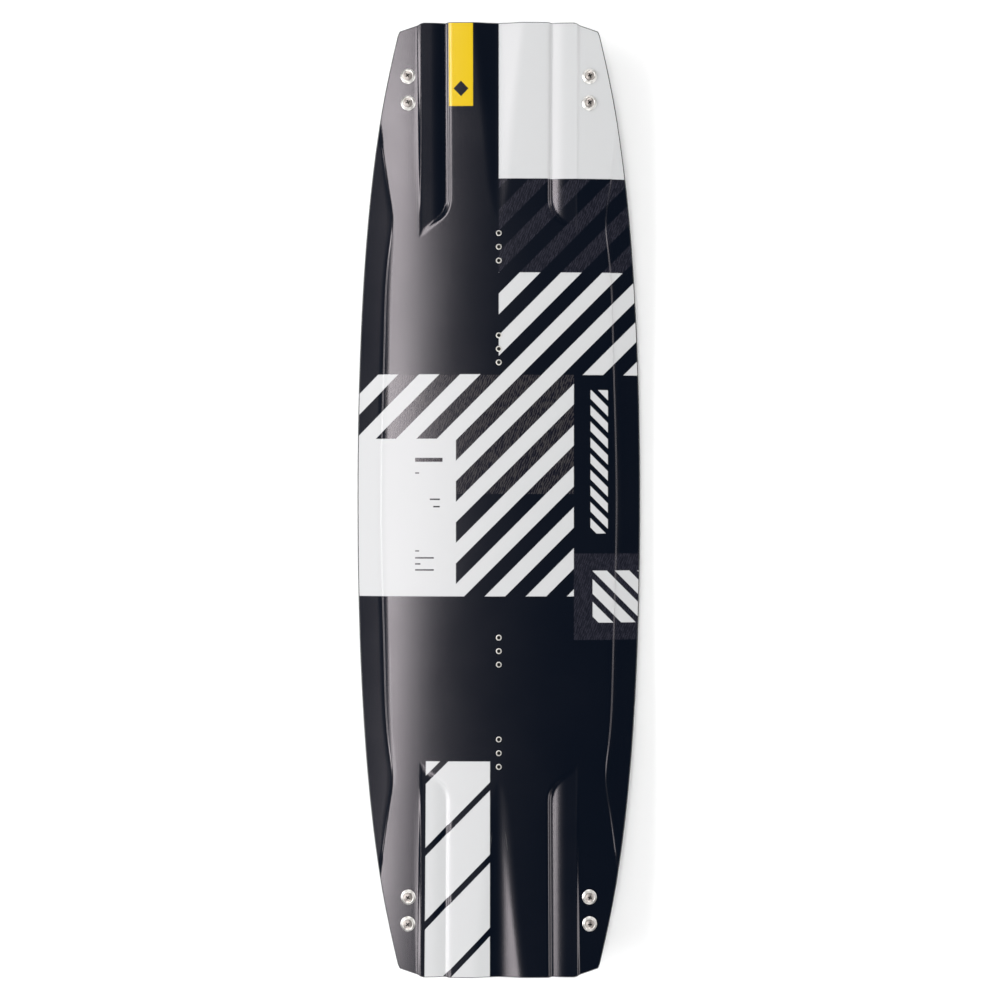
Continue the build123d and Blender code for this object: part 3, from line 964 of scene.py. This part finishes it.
def add_inserts():
    """Threaded inserts, in the groups of the CAD."""
    steel = plain("insert_steel", (0.78, 0.76, 0.72), (0.66, 0.64, 0.60), 0.45, 1.0, 400.0)
    # The bore material is painted shade: it darkens the faces inside the insert's bore.
    bore = plain("insert_bore_painted_shade", (0.05, 0.047, 0.043), (0.03, 0.028, 0.026), 0.55, 0.6, 400.0)
    template = insert_mesh()
    for end_name, end in (("front", 1), ("rear", -1)):
        for group, centre in INSERT_GROUPS.items():
            mesh = gathered("threaded_inserts", template, insert_places(end, centre))
            node = f"pad_inserts_{end_name}_{group}"
            show(f"threaded_inserts_{end_name}_{group}", mesh, [steel, bore], node)


def add_fins():
    """Fins, screws and washers at the four corners."""
    steel = plain("washer_steel", (0.80, 0.78, 0.75), (0.70, 0.68, 0.65), 0.33, 1.0, 300.0)
    screw_steel = plain("screw_steel", (0.50, 0.46, 0.43), (0.38, 0.34, 0.32), 0.38, 1.0, 500.0)
    # The recess material is painted shade: it darkens the faces inside the cross recess.
    recess = plain("screw_recess_painted_shade", (0.03, 0.028, 0.026), (0.018, 0.017, 0.016), 0.6, 0.4, 500.0)
    near_black = (0.009, 0.009, 0.011)
    moulded = plain("moulded_fin", (0.016, 0.016, 0.018), near_black, 0.42, scale=90.0, bump=0.00002)
    fin, washer, screw = fin_mesh(), washer_mesh(), screw_mesh()
    for index, (corner, flip) in enumerate(CORNERS.items()):
        first = 37.0 * (index + 1)
        turns = (first, first + 71.0)
        show(f"moulded_fin_{corner}", gathered("fin", fin, [flip]), [moulded], f"fin_{corner}")
        washers = gathered("washers", washer, bolt_places(corner))
        show(f"dished_washers_{corner}", washers, [steel], f"fin_washers_{corner}")
        screws = gathered("screws", screw, bolt_places(corner, turns))
        show(f"cross_screws_{corner}", screws, [screw_steel, recess], f"fin_screws_{corner}")


def finish_cad_nodes():
    """Materials for the CAD nodes that are kept."""
    finishes = {
        "laminate": cloth_laminate(),
        "core_strip": wood("paulownia", (0.66, 0.50, 0.31), (0.50, 0.35, 0.20), 40.0),
        "insert_block": wood("beech", (0.52, 0.33, 0.19), (0.36, 0.21, 0.11), 70.0),
        "fin_block": plain("dense_foam", (0.70, 0.64, 0.48), (0.58, 0.52, 0.38), 0.6, scale=300.0),
        "fin_barrels": plain("brass", (0.76, 0.55, 0.24), (0.60, 0.42, 0.17), 0.3, 1.0, 300.0),
    }
    for name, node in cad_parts.items():
        for part, finish in finishes.items():
            if part in name:
                node.data.materials.clear()
                node.data.materials.append(finish)


# Studio

# Half the floor's width in metres
FLOOR_REACH = 2.6
# Heights, as shares of the sky, between which the studio's walls fade into its ceiling, and their brightness
WALL_TOP = (0.12, 0.6)
WALL_LIGHT = 0.75
CEILING_LIGHT = 0.03
# Camera, in metres above the deck, and its lens in millimetres
CAMERA_HEIGHT = 1.565
CAMERA_LENS = 37.76


def add_floor():
    """Plain pale floor."""
    mesh = bpy.data.meshes.new("floor")
    signs = ((-1, -1), (1, -1), (1, 1), (-1, 1))
    corners = [(FLOOR_REACH * across, FLOOR_REACH * along, 0) for across, along in signs]
    mesh.from_pydata(corners, [], [(0, 1, 2, 3)])
    floor = bpy.data.objects.new("floor", mesh)
    bpy.context.scene.collection.objects.link(floor)
    mesh.materials.append(plain("pale_floor", (0.93, 0.93, 0.93), (0.91, 0.91, 0.91), 0.85, scale=2.0))


def add_softbox(name, place, size, power, target=(0, 0, 0), turn_by=0.0):
    """Rectangular soft light aimed at a point. Its second size runs along the board."""
    data = bpy.data.lights.new(name, "AREA")
    data.shape = "RECTANGLE"
    data.size, data.size_y = size
    data.energy = power
    light = bpy.data.objects.new(name, data)
    bpy.context.scene.collection.objects.link(light)
    light.location = place
    aim = (Vector(place) - Vector(target)).normalized()
    across = Vector((0, 1, 0)).cross(aim).normalized() if abs(aim.y) < 0.5 else Vector((1, 0, 0))
    turn = Matrix((across, aim.cross(across), aim)).transposed()
    light.rotation_euler = (Matrix.Rotation(math.radians(turn_by), 3, "Z") @ turn).to_euler()
    light.visible_camera = False


def add_world():
    """Pale studio walls that darken towards the ceiling."""
    world = bpy.data.worlds.new("studio")
    world.use_nodes = True
    tree = world.node_tree
    place = tree.nodes.new("ShaderNodeTexCoord")
    split = tree.nodes.new("ShaderNodeSeparateXYZ")
    fade = tree.nodes.new("ShaderNodeMapRange")
    fade.inputs["From Min"].default_value = WALL_TOP[0]
    fade.inputs["From Max"].default_value = WALL_TOP[1]
    fade.inputs["To Min"].default_value = WALL_LIGHT
    fade.inputs["To Max"].default_value = CEILING_LIGHT
    fade.interpolation_type = "SMOOTHSTEP"
    tree.links.new(place.outputs["Generated"], split.inputs[0])
    tree.links.new(split.outputs[2], fade.inputs["Value"])
    tree.links.new(fade.outputs[0], tree.nodes["Background"].inputs["Strength"])
    tree.nodes["Background"].inputs["Color"].default_value = (1.0, 1.0, 1.0, 1)
    bpy.context.scene.world = world


def add_light():
    """A long softbox high on the left and broad fills all round."""
    over = -1.80
    add_softbox("high_strip", (over, 0, 8.0), size=(0.75, 6.0), power=166, target=(over, 0, 0), turn_by=-4.5)
    add_softbox("right_fill", (2.3, 0, 1.7), size=(1.2, 3.0), power=37)
    add_softbox("left_fill", (-2.5, 0, 1.6), size=(1.2, 3.0), power=98)
    for name, side in (("front_fill", 1), ("rear_fill", -1)):
        add_softbox(name, (0, 2.9 * side, 1.9), size=(2.4, 1.0), power=48)


def add_camera():
    """Camera straight above the middle of the board, with the front tip at the top."""
    data = bpy.data.cameras.new("camera")
    data.lens = CAMERA_LENS
    data.sensor_width = 36.0
    data.shift_x = 0.0012
    camera = bpy.data.objects.new("camera", data)
    bpy.context.scene.collection.objects.link(camera)
    camera.location = (0, 0, (MIDDLE_THICKNESS + LIFT) * MM + CAMERA_HEIGHT)
    bpy.context.scene.camera = camera


add_sheets()
add_rails()
add_inserts()
add_fins()
finish_cad_nodes()
add_floor()
add_world()
add_light()
add_camera()
bpy.context.scene.view_settings.view_transform = "Standard"
